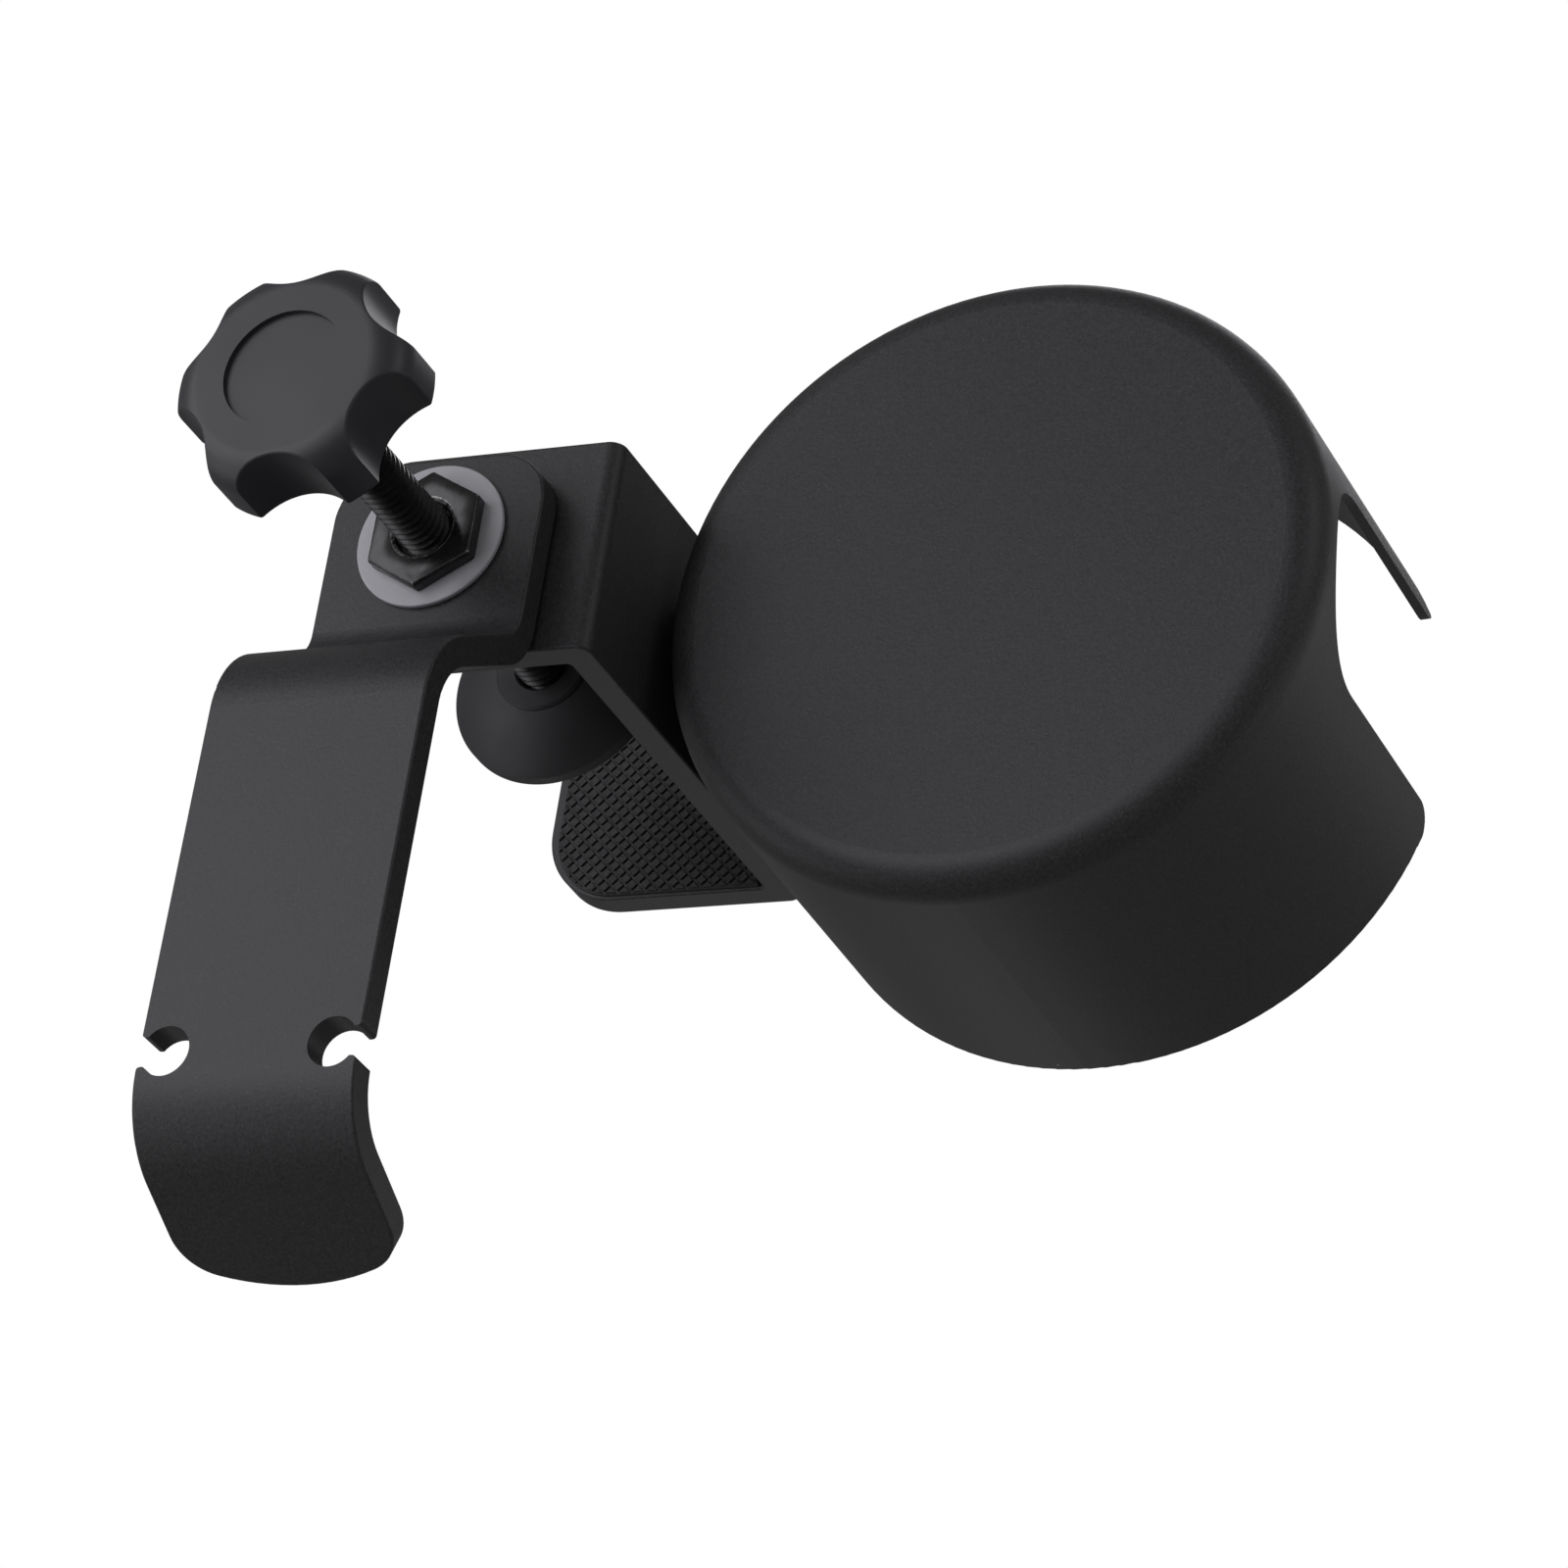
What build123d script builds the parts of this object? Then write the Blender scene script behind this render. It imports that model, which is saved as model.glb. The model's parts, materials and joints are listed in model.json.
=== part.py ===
"""Clamp-on desk cup holder with a swivelling headphone hook.

Millimetres, +Z up. The origin is on the clamp screw's axis, at the gripping face of the
rubber pad under the upper jaw. -Y points away from the desk, towards the cup.
"""
from build123d import *
import math
import os

os.makedirs("parts", exist_ok=True)

# ---------------------------------------------------------------- driving dimensions
# C-shaped clamp bracket, bent from one strip
bracket_w = 35.5
plate_t = 4.8
jaw_height = 82.5
upper_jaw_reach = 44.4
lower_jaw_reach = 44.0
upper_corner_r = 13.0
lower_corner_r = 9.0
bend_outer_r = 2.4
bend_inner_r = 0.8
screw_to_back = 26.0
edge_r = 0.4

# rubber pad under the upper jaw
pad_t = 1.0
pad_inset = 0.5
pad_end_inset = 1.8

# cup
cup_r = 52.1
cup_flare = 0.3
cup_wall = 1.5
cup_height = 60.2
cup_base_r = 5.5
cup_gap = 1.8
cup_lift = 18.0
slot_half_w = 16.1
slot_floor = 6.8
slot_rim_r = 5.7
slot_turn = 3.7

# saddle and screws between cup and bracket
saddle_w = 20.0
saddle_h = 36.0
cup_screw_r = 2.5
cup_screw_clear_r = 2.7
cup_screw_pitch = 22.0
button_head_r = 4.75
button_head_h = 2.7
button_socket_af = 3.0

# hex bush that the hook swivels on, its washers and nut
bush_af = 17.0
bush_head_h = 2.4
bush_r = 6.0
bush_mouth_r = 5.2
bush_mouth_depth = 1.2
washer_r = 12.1
outer_washer_t = 0.85
inner_washer_t = 0.75
swivel_gap = 0.05
nut_af = 19.0
nut_h = 3.0
bush_tail = 0.5

# headphone hook, bent from one strip
hook_w = 35.2
hook_t = 4.7
hook_back = 13.8
hook_back_r = 9.0
riser_top_x = 17.9
riser_angle = 60.0
shelf_drop = 28.5
lip_start_x = 97.7
lip_angle = 64.0
lip_flat = 19.1
lip_end_r = 35.0
lip_corner_r = 8.0
upper_bend_r = 5.5
lower_bend_r = 15.0
lip_bend_r = 15.7
notch_x = 95.2
notch_y = 13.3
notch_r = 3.85
notch_mouth = 4.6
notch_mouth_r = 0.8
hook_edge_r = 0.4

# clamp screw
screw_r = 4.0
screw_bore_r = 4.08
screw_head_af = 13.0
screw_head_h = 5.3
pin_r = 2.5
pin_groove_r = 2.0

# star knob
knob_r = 18.8
knob_h = 11.7
knob_rear = 42.7
knob_edge_r = 5.0
lobe_count = 6
lobe_phase = 26.0
scallop_r = 10.0
scallop_centre_r = 24.6
cap_r = 9.5
cap_recess = 0.8
cap_t = 1.5

# swivelling rubber foot
foot_r = 17.25
foot_bottom = 33.2
foot_h = 8.0
foot_rim_h = 2.6
foot_boss_r = 7.9
foot_boss_h = 0.6
foot_hole_r = 4.3
foot_disc_r = 12.0
foot_disc_t = 2.0
foot_disc_z = 3.0
foot_recess_r = 7.0
clip_r = 4.2
clip_t = 0.7

# ---------------------------------------------------------------- levels and places
lower_face = -(jaw_height - plate_t - pad_t)
lower_inner = lower_face + plate_t
upper_inner = lower_face + jaw_height - plate_t
upper_face = lower_face + jaw_height
back_face = -screw_to_back
cup_y = back_face - cup_gap - cup_r
cup_floor = lower_face + cup_lift
cup_rim = cup_floor + cup_height
cup_screw_z = (cup_floor + cup_rim) / 2 + 1.0
hook_top = lower_face - inner_washer_t - swivel_gap
hook_under = hook_top - hook_t
bush_seat = hook_under - swivel_gap - outer_washer_t
bush_face = bush_seat - bush_head_h
bush_top = lower_inner + nut_h + bush_tail
knob_back = lower_face - knob_rear
knob_face = knob_back - knob_h
foot_base = lower_face + foot_bottom
foot_face = foot_base + foot_h
disc_under = foot_base + foot_disc_z


def corner_edges(part, plane_value, z_low, z_high):
    """Upright edges at the free end of a jaw, between two heights."""
    upright = part.edges().filter_by(Axis.Z)
    at_end = upright.filter_by_position(Axis.Y, plane_value - 0.01, plane_value + 0.01)
    return at_end.filter_by_position(Axis.Z, z_low, z_high)


# ---------------------------------------------------------------- clamp bracket
with BuildPart() as clamp_bracket:
    with BuildSketch(Plane.YZ) as c_profile:
        with BuildLine():
            Polyline(
                (back_face, lower_face),
                (back_face + lower_jaw_reach, lower_face),
                (back_face + lower_jaw_reach, lower_inner),
                (back_face + plate_t, lower_inner),
                (back_face + plate_t, upper_inner),
                (back_face + upper_jaw_reach, upper_inner),
                (back_face + upper_jaw_reach, upper_face),
                (back_face, upper_face),
                close=True,
            )
        make_face()
        fillet(c_profile.vertices().group_by(Axis.X)[0], bend_outer_r)
        throat_x = back_face + plate_t
        throat = [v for v in c_profile.vertices() if abs(v.X - throat_x) < 0.01]
        throat = [v for v in throat if lower_face < v.Y < upper_face]
        fillet(throat, bend_inner_r)
    extrude(amount=bracket_w / 2, both=True)
    fillet(corner_edges(clamp_bracket, back_face + upper_jaw_reach, 0, upper_face), upper_corner_r)
    fillet(
        corner_edges(clamp_bracket, back_face + lower_jaw_reach, lower_face, lower_inner),
        lower_corner_r,
    )
    side_faces = clamp_bracket.faces().filter_by(Axis.X).group_by(Axis.X)
    fillet(side_faces[0].edges() + side_faces[-1].edges(), edge_r)
    with BuildSketch(Plane.XY.offset(lower_face)):
        Circle(bush_r)
    extrude(amount=plate_t, mode=Mode.SUBTRACT)
    with BuildSketch(Plane.XZ.offset(-back_face)):
        with Locations((0, cup_screw_z)):
            with GridLocations(0, cup_screw_pitch, 1, 2):
                Circle(cup_screw_r)
    extrude(amount=-plate_t, mode=Mode.SUBTRACT)

# ---------------------------------------------------------------- jaw pad
pad_back = back_face + plate_t + bend_inner_r + 0.2
pad_front = back_face + upper_jaw_reach - pad_end_inset
pad_w = bracket_w - 2 * pad_inset
with BuildPart() as jaw_pad:
    with BuildSketch(Plane.XY):
        with Locations((0, (pad_back + pad_front) / 2)):
            pad_shape = Rectangle(pad_w, pad_front - pad_back)
        fillet(pad_shape.vertices().group_by(Axis.Y)[-1], upper_corner_r - pad_end_inset)
    extrude(amount=pad_t)

# ---------------------------------------------------------------- cup
cup_plane = Plane(origin=(0, cup_y, 0), x_dir=(1, 0, 0), z_dir=(0, -1, 0))
slot_plane = Plane(
    origin=(0, cup_y, 0), x_dir=(1, 0, 0), z_dir=(0, -1, 0)
).rotated((0, 0, -slot_turn))
with BuildPart() as cup_shell:
    with BuildSketch(cup_plane) as cup_profile:
        with BuildLine():
            Polyline(
                (0, cup_floor),
                (cup_r, cup_floor),
                (cup_r + cup_flare, cup_rim),
                (cup_r + cup_flare - cup_wall, cup_rim),
                (cup_r - cup_wall, cup_floor + cup_wall),
                (0, cup_floor + cup_wall),
                close=True,
            )
        make_face()
        corners = cup_profile.vertices()
        fillet([v for v in corners if v.X > cup_r - 0.01 and v.Y < cup_floor + 0.01], cup_base_r)
        inner = [v for v in cup_profile.vertices() if abs(v.X - cup_r + cup_wall) < 0.4]
        fillet([v for v in inner if v.Y < cup_floor + cup_wall + 0.01], cup_base_r - cup_wall)
        top = [v for v in cup_profile.vertices() if v.Y > cup_rim - 0.01]
        fillet(top, cup_wall * 0.45)
    revolve(axis=Axis((0, cup_y, 0), (0, 0, 1)))
    slot_centre = cup_floor + slot_floor + slot_half_w
    with BuildSketch(slot_plane):
        with BuildLine():
            Line((-slot_half_w, slot_centre), (-slot_half_w, cup_rim - slot_rim_r))
            RadiusArc(
                (-slot_half_w, cup_rim - slot_rim_r),
                (-slot_half_w - slot_rim_r, cup_rim),
                -slot_rim_r,
            )
            Polyline(
                (-slot_half_w - slot_rim_r, cup_rim),
                (-slot_half_w - slot_rim_r, cup_rim + 5),
                (slot_half_w + slot_rim_r, cup_rim + 5),
                (slot_half_w + slot_rim_r, cup_rim),
            )
            RadiusArc(
                (slot_half_w + slot_rim_r, cup_rim),
                (slot_half_w, cup_rim - slot_rim_r),
                -slot_rim_r,
            )
            Line((slot_half_w, cup_rim - slot_rim_r), (slot_half_w, slot_centre))
            ThreePointArc(
                (slot_half_w, slot_centre),
                (0, cup_floor + slot_floor),
                (-slot_half_w, slot_centre),
            )
        make_face()
    extrude(amount=cup_r + 5, mode=Mode.SUBTRACT)
    with BuildSketch(Plane.XZ.offset(-cup_y)):
        with Locations((0, cup_screw_z)):
            with GridLocations(0, cup_screw_pitch, 1, 2):
                Circle(cup_screw_clear_r)
    extrude(amount=-(cup_r + 5), mode=Mode.SUBTRACT)

# ---------------------------------------------------------------- saddle between cup and bracket
with BuildPart() as cup_saddle:
    with BuildSketch(Plane.XZ.offset(-back_face)):
        with Locations((0, cup_screw_z)):
            saddle_shape = Rectangle(saddle_w, saddle_h)
            fillet(saddle_shape.vertices(), 4.0)
            with GridLocations(0, cup_screw_pitch, 1, 2):
                Circle(cup_screw_clear_r, mode=Mode.SUBTRACT)
    extrude(amount=cup_gap + 2)
    with BuildSketch(Plane.XY.offset(cup_floor)):
        with Locations((0, cup_y)):
            Circle(cup_r + cup_flare)
    extrude(amount=cup_height, mode=Mode.SUBTRACT)

# ---------------------------------------------------------------- cup screws
head_seat = cup_y + cup_r - cup_wall - 0.3
with BuildPart() as cup_screws:
    for offset_z in (-cup_screw_pitch / 2, cup_screw_pitch / 2):
        screw_plane = Plane(
            origin=(0, head_seat, cup_screw_z + offset_z), x_dir=(1, 0, 0), z_dir=(0, 1, 0)
        )
        with BuildSketch(screw_plane):
            Circle(cup_screw_r)
        extrude(amount=back_face + plate_t - 0.3 - head_seat)
        with BuildSketch(screw_plane):
            Circle(button_head_r)
        head = extrude(amount=-button_head_h)
        outer_face = head.faces().sort_by(Axis.Y)[0]
        fillet(outer_face.edges(), button_head_h * 0.7)
        with BuildSketch(screw_plane.offset(-button_head_h)):
            RegularPolygon(button_socket_af / 2, 6, major_radius=False)
        extrude(amount=1.6, mode=Mode.SUBTRACT)

# ---------------------------------------------------------------- swivel bush
with BuildPart() as swivel_bush:
    with BuildSketch(Plane.XY.offset(bush_face)):
        RegularPolygon(bush_af / 2, 6, major_radius=False)
    extrude(amount=bush_head_h)
    with BuildSketch(Plane.XY.offset(bush_seat)):
        Circle(bush_r)
    extrude(amount=bush_top - bush_seat)
    with BuildSketch(Plane.XY.offset(bush_face)):
        Circle(screw_bore_r)
    extrude(amount=bush_top - bush_face, mode=Mode.SUBTRACT)
    with BuildSketch(Plane.XZ):
        with BuildLine():
            Polyline(
                (0, bush_face),
                (bush_mouth_r, bush_face),
                (screw_bore_r, bush_face + bush_mouth_depth),
                (0, bush_face + bush_mouth_depth),
                close=True,
            )
        make_face()
    revolve(axis=Axis.Z, mode=Mode.SUBTRACT)
    under = swivel_bush.faces().sort_by(Axis.Z)[0]
    chamfer(under.outer_wire().edges(), 0.25)

# ---------------------------------------------------------------- washers and retaining nut
with BuildPart() as outer_washer:
    with BuildSketch(Plane.XY.offset(bush_seat)):
        Circle(washer_r)
        Circle(bush_r, mode=Mode.SUBTRACT)
    extrude(amount=outer_washer_t)
    fillet(outer_washer.edges().filter_by(GeomType.CIRCLE).group_by(SortBy.RADIUS)[-1], 0.2)

with BuildPart() as inner_washer:
    with BuildSketch(Plane.XY.offset(lower_face)):
        Circle(washer_r)
        Circle(bush_r, mode=Mode.SUBTRACT)
    extrude(amount=-inner_washer_t)

with BuildPart() as bush_nut:
    with BuildSketch(Plane.XY.offset(lower_inner)):
        RegularPolygon(nut_af / 2, 6, major_radius=False, rotation=12)
        Circle(bush_r, mode=Mode.SUBTRACT)
    extrude(amount=nut_h)
    nut_top = bush_nut.faces().sort_by(Axis.Z)[-1]
    chamfer(nut_top.outer_wire().edges(), 0.5)

# ---------------------------------------------------------------- headphone hook
slope = math.radians(riser_angle)
rise = math.radians(lip_angle)
shelf_under = lower_face - shelf_drop
riser_foot_x = riser_top_x + (hook_under - shelf_under) / math.tan(slope)
lip_corner_x = lip_start_x + lip_bend_r * math.tan(rise / 2)
lip_join = lip_bend_r * math.tan(rise / 2) + 1.0


def shifted(points, distance):
    """The same open run of straight lines, moved sideways to its left."""
    moved = []
    for i, point in enumerate(points):
        before = points[max(i - 1, 0)]
        after = points[min(i + 1, len(points) - 1)]
        arriving = (point - before).normalized() if i > 0 else (after - point).normalized()
        leaving = (after - point).normalized() if i < len(points) - 1 else arriving
        left_a = Vector(-arriving.Y, arriving.X)
        left_b = Vector(-leaving.Y, leaving.X)
        moved.append(point + (left_a + left_b) * (distance / (1 + arriving.dot(leaving))))
    return moved


underside = [
    Vector(-hook_back, hook_under),
    Vector(riser_top_x, hook_under),
    Vector(riser_foot_x, shelf_under),
    Vector(lip_corner_x, shelf_under),
    Vector(lip_corner_x + lip_join * math.cos(rise), shelf_under + lip_join * math.sin(rise)),
]
topside = shifted(underside, hook_t)
under_radii = [upper_bend_r, lower_bend_r, lip_bend_r]
top_radii = [upper_bend_r + hook_t, lower_bend_r - hook_t, lip_bend_r - hook_t]
lip_end = underside[-1]
lip_plane = Plane(
    origin=(lip_end.X, 0, lip_end.Y),
    x_dir=(0, 1, 0),
    z_dir=(-math.sin(rise), 0, math.cos(rise)),
)
side_length = lip_flat - 1.0 - (lip_end_r - math.sqrt(lip_end_r**2 - (hook_w / 2) ** 2))
with BuildPart() as headphone_hook:
    with BuildSketch(Plane.XZ):
        with BuildLine():
            FilletPolyline(*underside, radius=under_radii)
            FilletPolyline(*topside, radius=top_radii)
            Line(underside[0], topside[0])
            Line(underside[-1], topside[-1])
        make_face()
    extrude(amount=hook_w / 2, both=True)
    outward = -1 if lip_plane.y_dir.Z < 0 else 1
    with BuildSketch(lip_plane) as lip_shape:
        with BuildLine():
            Polyline(
                (-hook_w / 2, outward * side_length),
                (-hook_w / 2, 0),
                (hook_w / 2, 0),
                (hook_w / 2, outward * side_length),
            )
            ThreePointArc(
                (-hook_w / 2, outward * side_length),
                (0, outward * (lip_flat - 1.0)),
                (hook_w / 2, outward * side_length),
            )
        make_face()
        tips = [v for v in lip_shape.vertices() if abs(abs(v.Y) - side_length) < 0.01]
        fillet(tips, lip_corner_r)
    extrude(amount=hook_t)
    back_edges = headphone_hook.edges().filter_by(Axis.Z)
    fillet(back_edges.group_by(Axis.X)[0], hook_back_r)
    side_edges = headphone_hook.faces().filter_by(Axis.Y).edges()
    fillet([e for e in side_edges if abs(e.length - hook_t) > 0.01], hook_edge_r)
    with BuildSketch(Plane.XY.offset(hook_under)):
        Circle(bush_r + 0.08)
    extrude(amount=hook_t, mode=Mode.SUBTRACT)
    with BuildSketch(Plane.XY.offset(shelf_under - 1)) as notches:
        with Locations((notch_x, notch_y), (notch_x, -notch_y)):
            Circle(notch_r)
        for side in (-1, 1):
            with Locations((notch_x, side * (notch_y + notch_r))):
                Rectangle(notch_mouth, 2 * notch_r)
            with Locations((notch_x, side * (hook_w / 2 + notch_r))):
                Rectangle(4 * notch_r, 2 * notch_r)
        mouths = [v for v in notches.vertices() if abs(abs(v.Y) - hook_w / 2) < 0.01]
        fillet([v for v in mouths if abs(v.X - notch_x) < notch_r], notch_mouth_r)
    extrude(amount=hook_t + 3, mode=Mode.SUBTRACT)

# ---------------------------------------------------------------- clamp screw
head_under = knob_face + cap_recess + cap_t + 0.1
shank_start = head_under + screw_head_h
pin_top = disc_under + foot_disc_t + 0.1 + clip_t + 0.9
groove_low = disc_under + foot_disc_t + 0.1
with BuildPart() as clamp_screw:
    with BuildSketch(Plane.XY.offset(head_under)):
        RegularPolygon(screw_head_af / 2, 6, major_radius=False)
    extrude(amount=screw_head_h)
    with BuildSketch(Plane.XZ):
        with BuildLine():
            Polyline(
                (0, shank_start),
                (screw_r, shank_start),
                (screw_r, disc_under - 0.6),
                (screw_r - 0.5, disc_under - 0.1),
                (pin_r, disc_under - 0.1),
                (pin_r, groove_low),
                (pin_groove_r, groove_low),
                (pin_groove_r, groove_low + clip_t),
                (pin_r, groove_low + clip_t),
                (pin_r, pin_top - 0.3),
                (pin_r - 0.3, pin_top),
                (0, pin_top),
                close=True,
            )
        make_face()
    revolve(axis=Axis.Z)

# ---------------------------------------------------------------- star knob and its cap
with BuildPart() as star_knob:
    with BuildSketch(Plane.XY.offset(knob_face)):
        Circle(knob_r)
    extrude(amount=knob_h)
    fillet(star_knob.edges().group_by(Axis.Z)[0], knob_edge_r)
    fillet(star_knob.edges().group_by(Axis.Z)[-1], 0.6)
    with BuildSketch(Plane.XY.offset(knob_face - 1)):
        with PolarLocations(scallop_centre_r, lobe_count, start_angle=lobe_phase + 30):
            Circle(scallop_r)
    extrude(amount=knob_h + 2, mode=Mode.SUBTRACT)
    rims = star_knob.edges().filter_by(
        lambda e: (e.center() - Vector(0, 0, e.center().Z)).length > scallop_centre_r - scallop_r - 0.5
    )
    fillet(rims, 0.35)
    with BuildSketch(Plane.XY.offset(knob_face)):
        Circle(cap_r)
    extrude(amount=cap_recess + cap_t, mode=Mode.SUBTRACT)
    with BuildSketch(Plane.XY.offset(knob_face + cap_recess + cap_t)):
        RegularPolygon(screw_head_af / 2, 6, major_radius=False)
    extrude(amount=screw_head_h + 0.1, mode=Mode.SUBTRACT)
    with BuildSketch(Plane.XY.offset(shank_start)):
        Circle(screw_r)
    extrude(amount=knob_back - shank_start, mode=Mode.SUBTRACT)

with BuildPart() as knob_cap:
    with BuildSketch(Plane.XY.offset(knob_face + cap_recess)):
        Circle(cap_r)
    extrude(amount=cap_t)

# ---------------------------------------------------------------- rubber foot
with BuildPart() as foot_pad:
    with BuildSketch(Plane.XZ):
        with BuildLine():
            dome_low = foot_base + foot_boss_h
            rim_low = foot_face - foot_rim_h
            Polyline(
                (foot_hole_r, disc_under),
                (foot_hole_r, foot_base + 0.4),
                (foot_hole_r + 0.4, foot_base),
                (foot_boss_r - 0.4, foot_base),
                (foot_boss_r, foot_base + 0.4),
                (foot_boss_r, dome_low),
            )
            ThreePointArc(
                (foot_boss_r, dome_low),
                (foot_r - 3.6, dome_low + (rim_low - dome_low) * 0.42),
                (foot_r, rim_low),
            )
            Polyline(
                (foot_r, rim_low),
                (foot_r, foot_face - 0.8),
                (foot_r - 0.8, foot_face),
                (foot_recess_r, foot_face),
                (foot_recess_r, disc_under + foot_disc_t),
                (foot_disc_r, disc_under + foot_disc_t),
                (foot_disc_r, disc_under),
                (foot_hole_r, disc_under),
            )
        make_face()
    revolve(axis=Axis.Z)

with BuildPart() as foot_disc:
    with BuildSketch(Plane.XY.offset(disc_under)):
        Circle(foot_disc_r)
        Circle(pin_r + 0.06, mode=Mode.SUBTRACT)
    extrude(amount=foot_disc_t)

with BuildPart() as foot_clip:
    with BuildSketch(Plane.XY.offset(groove_low)):
        Circle(clip_r)
        Circle(pin_groove_r, mode=Mode.SUBTRACT)
    extrude(amount=clip_t)
    with BuildSketch(Plane.XY.offset(groove_low)):
        with Locations((clip_r, 0)):
            Rectangle(2 * clip_r, 2.2)
    extrude(amount=clip_t, mode=Mode.SUBTRACT)

# ---------------------------------------------------------------- write every piece
pieces = {
    "clamp_bracket": clamp_bracket,
    "jaw_pad": jaw_pad,
    "cup_shell": cup_shell,
    "cup_saddle": cup_saddle,
    "cup_screws": cup_screws,
    "swivel_bush": swivel_bush,
    "outer_washer": outer_washer,
    "inner_washer": inner_washer,
    "bush_nut": bush_nut,
    "headphone_hook": headphone_hook,
    "clamp_screw": clamp_screw,
    "star_knob": star_knob,
    "knob_cap": knob_cap,
    "foot_pad": foot_pad,
    "foot_disc": foot_disc,
    "foot_clip": foot_clip,
}
for name, piece in pieces.items():
    piece.part.label = name
    export_step(piece.part, f"parts/{name}.step")
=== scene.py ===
"""Looks of the clamp-on cup holder: materials, the pieces finer than the CAD, studio and camera.

Metres, +Z up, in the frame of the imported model: the origin is on the clamp screw's axis, at the
gripping face of the pad under the upper jaw, and -Y points towards the cup.
"""
import bmesh
import bpy
import json
import math
from mathutils import Matrix, Vector


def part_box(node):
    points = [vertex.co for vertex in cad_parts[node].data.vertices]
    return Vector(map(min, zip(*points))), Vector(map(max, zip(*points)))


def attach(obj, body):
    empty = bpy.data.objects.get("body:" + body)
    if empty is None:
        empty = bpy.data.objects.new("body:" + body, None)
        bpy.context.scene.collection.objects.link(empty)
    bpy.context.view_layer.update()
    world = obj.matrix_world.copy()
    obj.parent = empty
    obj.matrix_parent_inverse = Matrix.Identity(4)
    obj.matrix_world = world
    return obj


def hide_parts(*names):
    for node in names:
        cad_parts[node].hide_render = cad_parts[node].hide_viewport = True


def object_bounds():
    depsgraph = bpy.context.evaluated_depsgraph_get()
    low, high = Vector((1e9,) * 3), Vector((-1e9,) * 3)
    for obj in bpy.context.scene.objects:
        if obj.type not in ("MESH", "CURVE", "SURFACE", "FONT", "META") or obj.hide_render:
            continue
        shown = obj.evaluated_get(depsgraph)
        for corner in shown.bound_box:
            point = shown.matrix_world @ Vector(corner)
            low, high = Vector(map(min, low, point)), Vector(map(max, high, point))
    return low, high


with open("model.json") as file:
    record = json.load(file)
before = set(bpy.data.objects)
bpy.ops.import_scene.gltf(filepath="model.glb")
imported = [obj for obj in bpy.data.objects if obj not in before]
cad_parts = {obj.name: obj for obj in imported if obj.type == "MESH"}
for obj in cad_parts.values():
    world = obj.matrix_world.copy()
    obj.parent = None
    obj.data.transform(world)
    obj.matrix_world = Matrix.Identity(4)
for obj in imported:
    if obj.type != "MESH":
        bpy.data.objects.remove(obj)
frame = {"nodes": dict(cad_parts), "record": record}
cad_low, cad_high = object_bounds()
nodes = frame["nodes"]

MM = 0.001
TURN = 2 * math.pi


# ---------------------------------------------------------------- material helpers
class Recipe:
    """A procedural material being built: the surface shader, and shorthands for its texture nodes."""

    def __init__(self, name, **constants):
        self.material = bpy.data.materials.new(name)
        self.material.use_nodes = True
        tree = self.material.node_tree
        self.nodes = tree.nodes
        self.links = tree.links
        self.shader = self.nodes["Principled BSDF"]
        for socket, value in constants.items():
            self.shader.inputs[socket.replace("_", " ")].default_value = value
        self.place = self.nodes.new("ShaderNodeTexCoord").outputs["Object"]

    def noise(self, grain, detail=3.0, roughness=0.55, stretch=(1, 1, 1)):
        """Noise whose features are about that many metres across."""
        mapping = self.nodes.new("ShaderNodeMapping")
        mapping.inputs["Scale"].default_value = stretch
        self.links.new(self.place, mapping.inputs["Vector"])
        texture = self.nodes.new("ShaderNodeTexNoise")
        texture.inputs["Scale"].default_value = 1 / grain
        texture.inputs["Detail"].default_value = detail
        texture.inputs["Roughness"].default_value = roughness
        self.links.new(mapping.outputs["Vector"], texture.inputs["Vector"])
        return texture.outputs["Fac"]

    def cells(self, spacing):
        """Distance to the nearest of scattered points that lie about that many metres apart."""
        texture = self.nodes.new("ShaderNodeTexVoronoi")
        texture.inputs["Scale"].default_value = 1 / spacing
        self.links.new(self.place, texture.inputs["Vector"])
        return texture.outputs["Distance"]

    def between(self, source, low, high, to_low=0.0, to_high=1.0):
        """source, taken from low..high to to_low..to_high and held at the ends."""
        ramp = self.nodes.new("ShaderNodeMapRange")
        for socket, value in zip(("From Min", "From Max", "To Min", "To Max"), (low, high, to_low, to_high)):
            ramp.inputs[socket].default_value = value
        self.links.new(source, ramp.inputs["Value"])
        return ramp.outputs["Result"]

    def mix(self, amount, first, second):
        """A colour from first to second as amount goes from 0 to 1. Each is a colour or a socket."""
        blend = self.nodes.new("ShaderNodeMix")
        blend.data_type = "RGBA"
        self.links.new(amount, blend.inputs["Factor"])
        for socket, value in (("A", first), ("B", second)):
            target = next(i for i in blend.inputs if i.name == socket and i.type == "RGBA")
            if isinstance(value, bpy.types.NodeSocket):
                self.links.new(value, target)
            else:
                target.default_value = (*value, 1)
        return next(o for o in blend.outputs if o.type == "RGBA")

    def colour(self, source):
        self.links.new(source, self.shader.inputs["Base Color"])

    def roughness(self, source):
        self.links.new(source, self.shader.inputs["Roughness"])

    def bump(self, *layers):
        """Stacks (height socket, depth in metres, strength) layers into the surface normal."""
        normal = None
        for height, depth, strength in layers:
            node = self.nodes.new("ShaderNodeBump")
            node.inputs["Distance"].default_value = depth
            node.inputs["Strength"].default_value = strength
            self.links.new(height, node.inputs["Height"])
            if normal is not None:
                self.links.new(normal, node.inputs["Normal"])
            normal = node.outputs["Normal"]
        self.links.new(normal, self.shader.inputs["Normal"])


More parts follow.
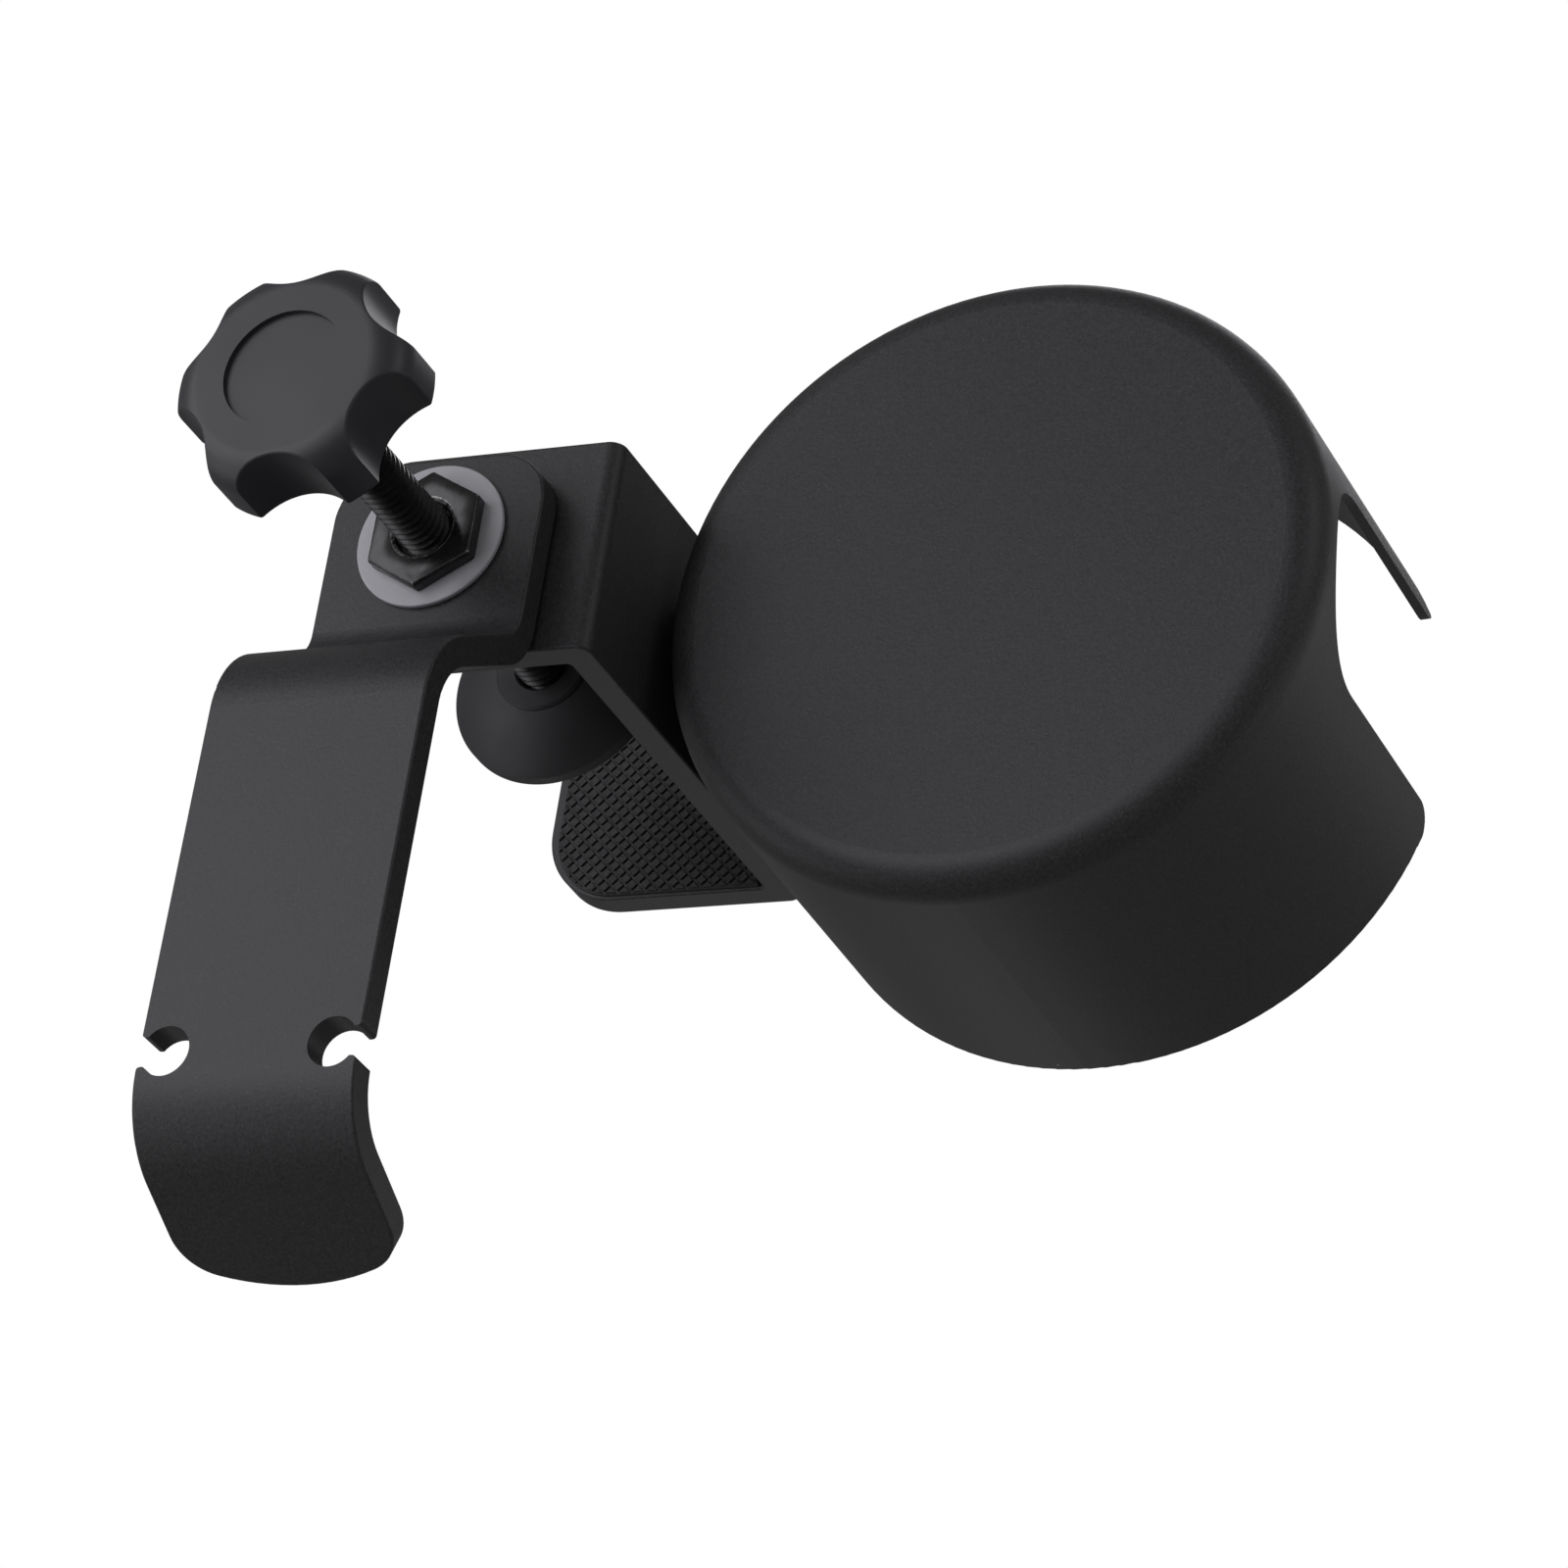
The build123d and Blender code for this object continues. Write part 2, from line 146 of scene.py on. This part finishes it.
# ---------------------------------------------------------------- materials
def powder_coat():
    """Satin black powder coat: a fine even grain, painted glints as lighter dots in its colour, and a few
    specks of dust.
    """
    coat = Recipe("powder_coat", IOR=1.5, Specular_IOR_Level=0.5)
    grain = coat.noise(0.5 * MM, detail=3.0, roughness=0.75)
    # Painted glints: scattered cells whose lighter colour stands in for the coat's sparkle.
    painted_glints = coat.cells(1.1 * MM)
    speck = coat.cells(16 * MM)
    tone = coat.mix(coat.between(grain, 0.3, 0.7), (0.012, 0.012, 0.013), (0.044, 0.044, 0.047))
    # The painted glints are mixed into the grain tone as lighter dots.
    bright = coat.mix(coat.between(painted_glints, 0.05, 0.13, 1.0, 0.0), tone, (0.085, 0.085, 0.090))
    coat.colour(coat.mix(coat.between(speck, 0.010, 0.016, 1.0, 0.0), bright, (0.30, 0.30, 0.30)))
    coat.roughness(coat.between(grain, 0.3, 0.7, 0.43, 0.54))
    coat.bump((grain, 0.10 * MM, 0.45))
    return coat.material


def moulded_plastic():
    """Matte moulded plastic: a fine spark-eroded texture and slight sheen variation."""
    plastic = Recipe("moulded_plastic", IOR=1.5)
    grain = plastic.noise(0.22 * MM, detail=2.0)
    cloud = plastic.noise(12 * MM, detail=1.0)
    plastic.colour(plastic.mix(cloud, (0.029, 0.0295, 0.034), (0.038, 0.0385, 0.044)))
    plastic.roughness(plastic.between(cloud, 0.3, 0.7, 0.40, 0.47))
    plastic.bump((grain, 0.02 * MM, 0.30))
    return plastic.material


def rubber():
    """Smooth matte rubber with a soft bloom."""
    soft = Recipe("rubber", IOR=1.5)
    bloom = soft.noise(6 * MM, detail=3.0)
    grain = soft.noise(0.3 * MM, detail=2.0)
    soft.colour(soft.mix(bloom, (0.018, 0.019, 0.021), (0.030, 0.031, 0.034)))
    soft.roughness(soft.between(bloom, 0.3, 0.7, 0.50, 0.60))
    soft.bump((grain, 0.02 * MM, 0.25))
    return soft.material


def ribbed_rubber():
    """The pad's rubber: matter than the foot, dusty on its raised squares."""
    soft = Recipe("ribbed_rubber", IOR=1.5)
    bloom = soft.noise(2.5 * MM, detail=3.0)
    grain = soft.noise(0.2 * MM, detail=2.0)
    soft.colour(soft.mix(bloom, (0.016, 0.016, 0.017), (0.030, 0.030, 0.031)))
    soft.roughness(soft.between(bloom, 0.3, 0.7, 0.55, 0.70))
    soft.bump((grain, 0.03 * MM, 0.30))
    return soft.material


def nylon():
    """Milky nylon: light goes a little way in, and faint flow marks cloud it."""
    milk = Recipe(
        "nylon",
        IOR=1.53,
        Subsurface_Weight=0.45,
        Subsurface_Scale=1.2 * MM,
        Subsurface_Radius=(1.0, 1.0, 1.1),
    )
    flow = milk.noise(3 * MM, detail=2.0, stretch=(1, 1, 0.3))
    milk.colour(milk.mix(flow, (0.42, 0.42, 0.445), (0.53, 0.53, 0.56)))
    milk.roughness(milk.between(flow, 0.3, 0.7, 0.30, 0.42))
    milk.bump((milk.noise(0.5 * MM), 0.01 * MM, 0.2))
    return milk.material


def black_nylon():
    """Black nylon of the saddle."""
    tough = Recipe("black_nylon", IOR=1.53)
    grain = tough.noise(0.4 * MM)
    tough.colour(tough.mix(grain, (0.014, 0.014, 0.015), (0.026, 0.026, 0.028)))
    tough.roughness(tough.between(grain, 0.3, 0.7, 0.38, 0.5))
    tough.bump((grain, 0.02 * MM, 0.3))
    return tough.material


def black_oxide():
    """Black oxide steel: dark and oily, with a fine grain, and bright along marked edges: partly wear, partly
    a painted highlight.
    """
    steel = Recipe("black_oxide", IOR=1.7, Metallic=0.45)
    stain = steel.noise(2.0 * MM, detail=4.0)
    grain = steel.noise(0.15 * MM, detail=2.0)
    dark = steel.mix(stain, (0.014, 0.014, 0.015), (0.034, 0.033, 0.034))
    # Edge colour: the marked chamfers are painted bright, as worn metal and as a painted highlight, broken up
    # by scuffs.
    worn_and_lit = steel.nodes.new("ShaderNodeAttribute")
    worn_and_lit.attribute_name = "wear_and_highlight"
    scuffs = steel.noise(0.8 * MM, detail=3.0)
    amount = steel.nodes.new("ShaderNodeMath")
    amount.operation = "MULTIPLY"
    steel.links.new(worn_and_lit.outputs["Fac"], amount.inputs[0])
    steel.links.new(steel.between(scuffs, 0.35, 0.6), amount.inputs[1])
    # Painted highlight and wear: the marked edges are pushed towards bright steel.
    steel.colour(steel.mix(amount.outputs["Value"], dark, (0.34, 0.33, 0.32)))
    steel.roughness(steel.between(stain, 0.3, 0.7, 0.20, 0.34))
    steel.bump((grain, 0.01 * MM, 0.25))
    return steel.material


def zinc_steel():
    """Plain zinc-plated disc inside the foot."""
    steel = Recipe("zinc_steel", Metallic=1.0)
    stain = steel.noise(3.0 * MM, detail=4.0)
    steel.colour(steel.mix(stain, (0.42, 0.42, 0.44), (0.58, 0.58, 0.60)))
    steel.roughness(steel.between(stain, 0.3, 0.7, 0.28, 0.45))
    steel.bump((steel.noise(0.2 * MM), 0.01 * MM, 0.2))
    return steel.material


MATERIALS = {
    "powder_coat": powder_coat(),
    "knob_plastic": moulded_plastic(),
    "rubber": rubber(),
    "ribbed_rubber": ribbed_rubber(),
    "nylon": nylon(),
    "black_nylon": black_nylon(),
    "black_oxide": black_oxide(),
    "zinc_steel": zinc_steel(),
}
MATERIALS["cap_plastic"] = MATERIALS["knob_plastic"]

for part in frame["record"]["subparts"]:
    shown = nodes[part["node"]]
    shown.data.materials.clear()
    shown.data.materials.append(MATERIALS[part["material_slot"]])


# ---------------------------------------------------------------- mesh helpers
def piece(name, mesh, body, slot, *stands_for):
    """A finished mesh as a shown piece, riding on a body and standing for CAD nodes."""
    bmesh.ops.recalc_face_normals(mesh, faces=mesh.faces)
    data = bpy.data.meshes.new(name)
    mesh.to_mesh(data)
    mesh.free()
    shown = bpy.data.objects.new(name, data)
    bpy.context.scene.collection.objects.link(shown)
    data.materials.append(MATERIALS[slot])
    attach(shown, body)
    if stands_for:
        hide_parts(*stands_for)
    return shown


def smooth(shown, angle):
    """Smooth shading that leaves edges sharper than an angle in degrees crisp."""
    for face in shown.data.polygons:
        face.use_smooth = True
    shown.data.set_sharp_from_angle(angle=math.radians(angle))


def lathe(mesh, outline, steps):
    """Turns an outline of (radius, height) points about the Z axis. Points at radius 0 close it."""
    rings = []
    for radius, height in outline:
        if radius < 1e-9:
            rings.append([mesh.verts.new((0, 0, height))])
        else:
            angles = [TURN * i / steps for i in range(steps)]
            places = [(radius * math.cos(a), radius * math.sin(a), height) for a in angles]
            rings.append([mesh.verts.new(p) for p in places])
    for lower, upper in zip(rings, rings[1:]):
        for i in range(steps):
            j = (i + 1) % steps
            below = [lower[i % len(lower)], lower[j % len(lower)]]
            above = [upper[j % len(upper)], upper[i % len(upper)]]
            corners = list(dict.fromkeys(below + above))
            if len(corners) > 2:
                mesh.faces.new(corners)


# ---------------------------------------------------------------- eased edges
def eased(node, width, steps, name, body, slot):
    """A copy of a CAD node whose sharp edges are rounded over, as plating and coating leave them."""
    mesh = bmesh.new()
    mesh.from_mesh(nodes[node].data)
    bmesh.ops.transform(mesh, matrix=nodes[node].matrix_world, verts=mesh.verts)
    bmesh.ops.remove_doubles(mesh, verts=mesh.verts, dist=1e-6)
    bmesh.ops.dissolve_limit(mesh, angle_limit=math.radians(0.5), verts=mesh.verts, edges=mesh.edges)
    # The narrow chamfer faces get a layer that black oxide paints bright: edge wear and a painted highlight.
    wear_and_highlight = mesh.loops.layers.float_color.new("wear_and_highlight")
    sharp = [e for e in mesh.edges if len(e.link_faces) == 2 and e.calc_face_angle() > math.radians(35)]
    bmesh.ops.bevel(
        mesh, geom=sharp, offset=width, segments=steps, profile=0.5, affect="EDGES", clamp_overlap=True
    )
    for face in mesh.faces:
        breadth = 2 * face.calc_area() / face.calc_perimeter()
        worn_and_lit = 1.0 if breadth < 1.5 * width else 0.0
        for loop in face.loops:
            loop[wear_and_highlight] = (worn_and_lit, worn_and_lit, worn_and_lit, 1)
    bmesh.ops.triangulate(mesh, faces=[f for f in mesh.faces if len(f.verts) > 4])
    return piece(name, mesh, body, slot, node)


smooth(eased("swivel_bush", 0.16 * MM, 1, "swivel_bush_eased", "bracket", "black_oxide"), 30)


# ---------------------------------------------------------------- jaw pad
def clipped(outline, border):
    """The part of a convex outline that lies inside a convex anticlockwise border. Both are (x, y) lists."""
    for start, end in zip(border, border[1:] + border[:1]):
        along = (end[0] - start[0], end[1] - start[1])
        sides = [along[0] * (p[1] - start[1]) - along[1] * (p[0] - start[0]) for p in outline]
        kept = []
        for k in range(len(outline)):
            here, there = outline[k - 1], outline[k]
            side_here, side_there = sides[k - 1], sides[k]
            if side_here * side_there < 0:
                t = side_here / (side_here - side_there)
                kept.append((here[0] + t * (there[0] - here[0]), here[1] + t * (there[1] - here[1])))
            if side_there >= 0:
                kept.append(there)
        outline = kept
        if len(outline) < 3:
            return []
    return outline


def pad_outline(low, high, inset, corner):
    """Anticlockwise outline of the pad, with its two far corners rounded."""
    left, right = low.x + inset, high.x - inset
    rear, front = low.y + inset, high.y - inset
    points = [(left, rear), (right, rear)]
    for side, first in ((1, 0.0), (-1, math.pi / 2)):
        centre = ((right if side > 0 else left) - side * corner, front - corner)
        angles = [first + math.pi / 2 * i / 16 for i in range(17)]
        points += [(centre[0] + corner * math.cos(a), centre[1] + corner * math.sin(a)) for a in angles]
    return points


def stack(mesh, *levels):
    """A closed shell lofted through (outline, height) levels of the same count."""
    rings = [[mesh.verts.new((*p, height)) for p in outline] for outline, height in levels]
    mesh.faces.new(rings[0])
    mesh.faces.new(rings[-1])
    for lower, upper in zip(rings, rings[1:]):
        for i in range(len(lower)):
            j = (i + 1) % len(lower)
            mesh.faces.new((lower[i], lower[j], upper[j], upper[i]))


def shrunk(outline, amount):
    """A small convex outline drawn in towards its middle by about an amount."""
    middle = (sum(p[0] for p in outline) / len(outline), sum(p[1] for p in outline) / len(outline))
    drawn = []
    for x, y in outline:
        reach = math.hypot(x - middle[0], y - middle[1])
        share = max(0.05, 1 - amount / max(reach, 1e-9))
        drawn.append((middle[0] + (x - middle[0]) * share, middle[1] + (y - middle[1]) * share))
    return drawn


def jaw_pad():
    """A slab whose gripping face carries raised squares on the diagonal, inside a plain border."""
    low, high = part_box("jaw_pad")
    pitch = 1.72 * MM
    half = 0.67 * MM
    relief = 0.36 * MM
    corner = 11.2 * MM
    outline = pad_outline(low, high, 0.0, corner)
    border = pad_outline(low, high, 0.2 * MM, corner - 0.2 * MM)
    mesh = bmesh.new()
    face = low.z + relief
    eased = pad_outline(low, high, 0.1 * MM, corner)
    stack(mesh, (eased, face), (outline, face + 0.1 * MM), (outline, high.z))
    count = int(30 * MM / pitch)
    middle = (low + high) / 2
    for i in range(-2 * count, 2 * count):
        for j in range(-2 * count, 2 * count):
            x = middle.x + (i + j) * pitch * math.sqrt(0.5)
            y = middle.y + (i - j) * pitch * math.sqrt(0.5)
            reach = half * math.sqrt(2)
            square = clipped([(x + reach, y), (x, y + reach), (x - reach, y), (x, y - reach)], border)
            if not square:
                continue
            area = 0.5 * sum(p[0] * q[1] - q[0] * p[1] for p, q in zip(square, square[1:] + square[:1]))
            if area < 0.12 * MM * MM:
                continue
            stack(mesh, (square, face + 0.03 * MM), (shrunk(square, 0.11 * MM), low.z))
    return piece("jaw_pad_ribbed", mesh, "bracket", "ribbed_rubber", "jaw_pad")


jaw_pad()


# ---------------------------------------------------------------- clamp screw
def thread(mesh, low, high, pitch, root, crest, steps):
    """A closed right-hand thread up from one height, tapering out to a flat end at another."""
    tooth = [(0.0, root), (0.12, root), (0.42, crest), (0.58, crest), (0.88, root)]
    step = len(tooth)
    turns = math.ceil((high - low) / pitch + 1 - tooth[-1][0])
    columns = []
    for i in range(steps):
        angle = TURN * i / steps
        column = []
        for turn in range(turns):
            for share, radius in tooth:
                height = low + pitch * (turn + i / steps + share)
                reach = min(radius, crest - 0.9 * MM + (high - height))
                point = (reach * math.cos(angle), reach * math.sin(angle), min(height, high))
                column.append(mesh.verts.new(point))
        columns.append(column)
    for i in range(steps):
        here = columns[i]
        there = columns[(i + 1) % steps]
        shift = step if i == steps - 1 else 0
        for k in range(len(here) - 1 - shift):
            mesh.faces.new((here[k], there[k + shift], there[k + shift + 1], here[k + 1]))
    lower_rim = [column[0] for column in columns] + columns[0][step:0:-1]
    upper_rim = [column[-1] for column in columns] + columns[-1][-2 : -2 - step : -1]
    for rim, height in ((lower_rim, low), (upper_rim, high - pitch)):
        middle = mesh.verts.new((0, 0, height))
        for here, there in zip(rim, rim[1:] + rim[:1]):
            mesh.faces.new((middle, here, there))


def clamp_screw():
    """Hex head inside the knob, threaded shank, and the grooved pin that holds the foot."""
    low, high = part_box("clamp_screw")
    disc_low, disc_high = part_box("foot_disc")
    clip_low, clip_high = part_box("foot_clip")
    head_top = low.z + 5.3 * MM
    shoulder = disc_low.z - 0.1 * MM
    pin = 2.5 * MM
    groove = 2.0 * MM
    flats = 6.5 * MM / math.cos(math.pi / 6)
    mesh = bmesh.new()
    thread(mesh, head_top - 2.0 * MM, shoulder, 1.5 * MM, 3.15 * MM, 4.0 * MM, 72)
    chamfer = 0.5 * MM
    hexagon = [(math.cos(TURN * i / 6), math.sin(TURN * i / 6)) for i in range(6)]
    wide = [(flats * x, flats * y) for x, y in hexagon]
    narrow = [((flats - chamfer) * x, (flats - chamfer) * y) for x, y in hexagon]
    stack(mesh, (narrow, low.z), (wide, low.z + chamfer), (wide, head_top))
    lathe(
        mesh,
        [
            (0, shoulder - 0.5 * MM),
            (pin, shoulder - 0.5 * MM),
            (pin, clip_low.z),
            (groove, clip_low.z),
            (groove, clip_high.z),
            (pin, clip_high.z),
            (pin, high.z - 0.3 * MM),
            (pin - 0.3 * MM, high.z),
            (0, high.z),
        ],
        48,
    )
    return piece("clamp_screw_threaded", mesh, "screw", "black_oxide", "clamp_screw")


screw = clamp_screw()
smooth(screw, 40)

# ---------------------------------------------------------------- studio
CENTRE = (cad_low + cad_high) / 2
camera_data = bpy.data.cameras.new("camera")
camera_data.lens = 139.3
camera_data.sensor_width = 36
camera_data.clip_start = 0.01
camera_data.clip_end = 20
camera = bpy.data.objects.new("camera", camera_data)
right = Vector((-0.1371, -0.9099, 0.3914))
up = Vector((-0.8807, -0.0688, -0.4686))
back = Vector((0.4534, -0.4090, -0.7920))
turned = Matrix((right, up, back)).transposed().to_4x4()
camera.matrix_world = Matrix.Translation((0.4353, -0.4153, -0.7611)) @ turned
bpy.context.scene.collection.objects.link(camera)
bpy.context.scene.camera = camera


def area_light(name, direction, distance, size, power):
    """A soft square light that looks at the object's middle."""
    data = bpy.data.lights.new(name, "AREA")
    data.size = size
    data.energy = power
    data.color = (1.0, 0.988, 1.035)
    light = bpy.data.objects.new(name, data)
    away = Vector(direction).normalized()
    light.location = CENTRE + away * distance
    light.rotation_euler = away.to_track_quat("Z", "Y").to_euler()
    light.visible_camera = False
    bpy.context.scene.collection.objects.link(light)


def around(tilt, turn):
    """Direction tilted from the camera's own by one angle and turned anticlockwise in its view by another."""
    tilt, turn = math.radians(tilt), math.radians(turn)
    return back * math.cos(tilt) + (right * math.cos(turn) + up * math.sin(turn)) * math.sin(tilt)


area_light("key_upper", around(46, 140), 1.0, 0.7, 1.3)
area_light("key_side", around(75, 148), 0.7, 0.5, 1.5)
area_light("left", around(80, 190), 0.8, 0.5, 0.9)
area_light("right", around(72, 352), 1.0, 0.6, 0.5)
area_light("upper_right", around(72, 46), 1.0, 0.3, 0.6)
area_light("rim", around(115, 0), 1.0, 0.5, 0.45)
area_light("lower_rim", around(126, 262), 1.0, 0.4, 0.22)
area_light("back_rim", around(150, 60), 1.0, 0.5, 1.6)

world = bpy.data.worlds.new("studio")
world.use_nodes = True
bpy.context.scene.world = world
world_nodes = world.node_tree.nodes
background = world_nodes["Background"]
background.inputs["Color"].default_value = (1, 1, 1, 1)
seen = world_nodes.new("ShaderNodeLightPath")
level = world_nodes.new("ShaderNodeMapRange")
level.inputs["To Min"].default_value = 0.176
level.inputs["To Max"].default_value = 1.0
world.node_tree.links.new(seen.outputs["Is Camera Ray"], level.inputs["Value"])
world.node_tree.links.new(level.outputs["Result"], background.inputs["Strength"])
bpy.context.scene.view_settings.view_transform = "Standard"

floor_mesh = bmesh.new()
bmesh.ops.create_grid(floor_mesh, x_segments=1, y_segments=1, size=4.0)
floor_data = bpy.data.meshes.new("floor")
floor_mesh.to_mesh(floor_data)
floor = bpy.data.objects.new("floor", floor_data)
floor.location.z = -1.25
floor_paint = Recipe("floor_paint", Roughness=0.7)
floor_paint.colour(floor_paint.mix(floor_paint.noise(0.4), (0.78, 0.78, 0.78), (0.82, 0.82, 0.82)))
floor_data.materials.append(floor_paint.material)
bpy.context.scene.collection.objects.link(floor)
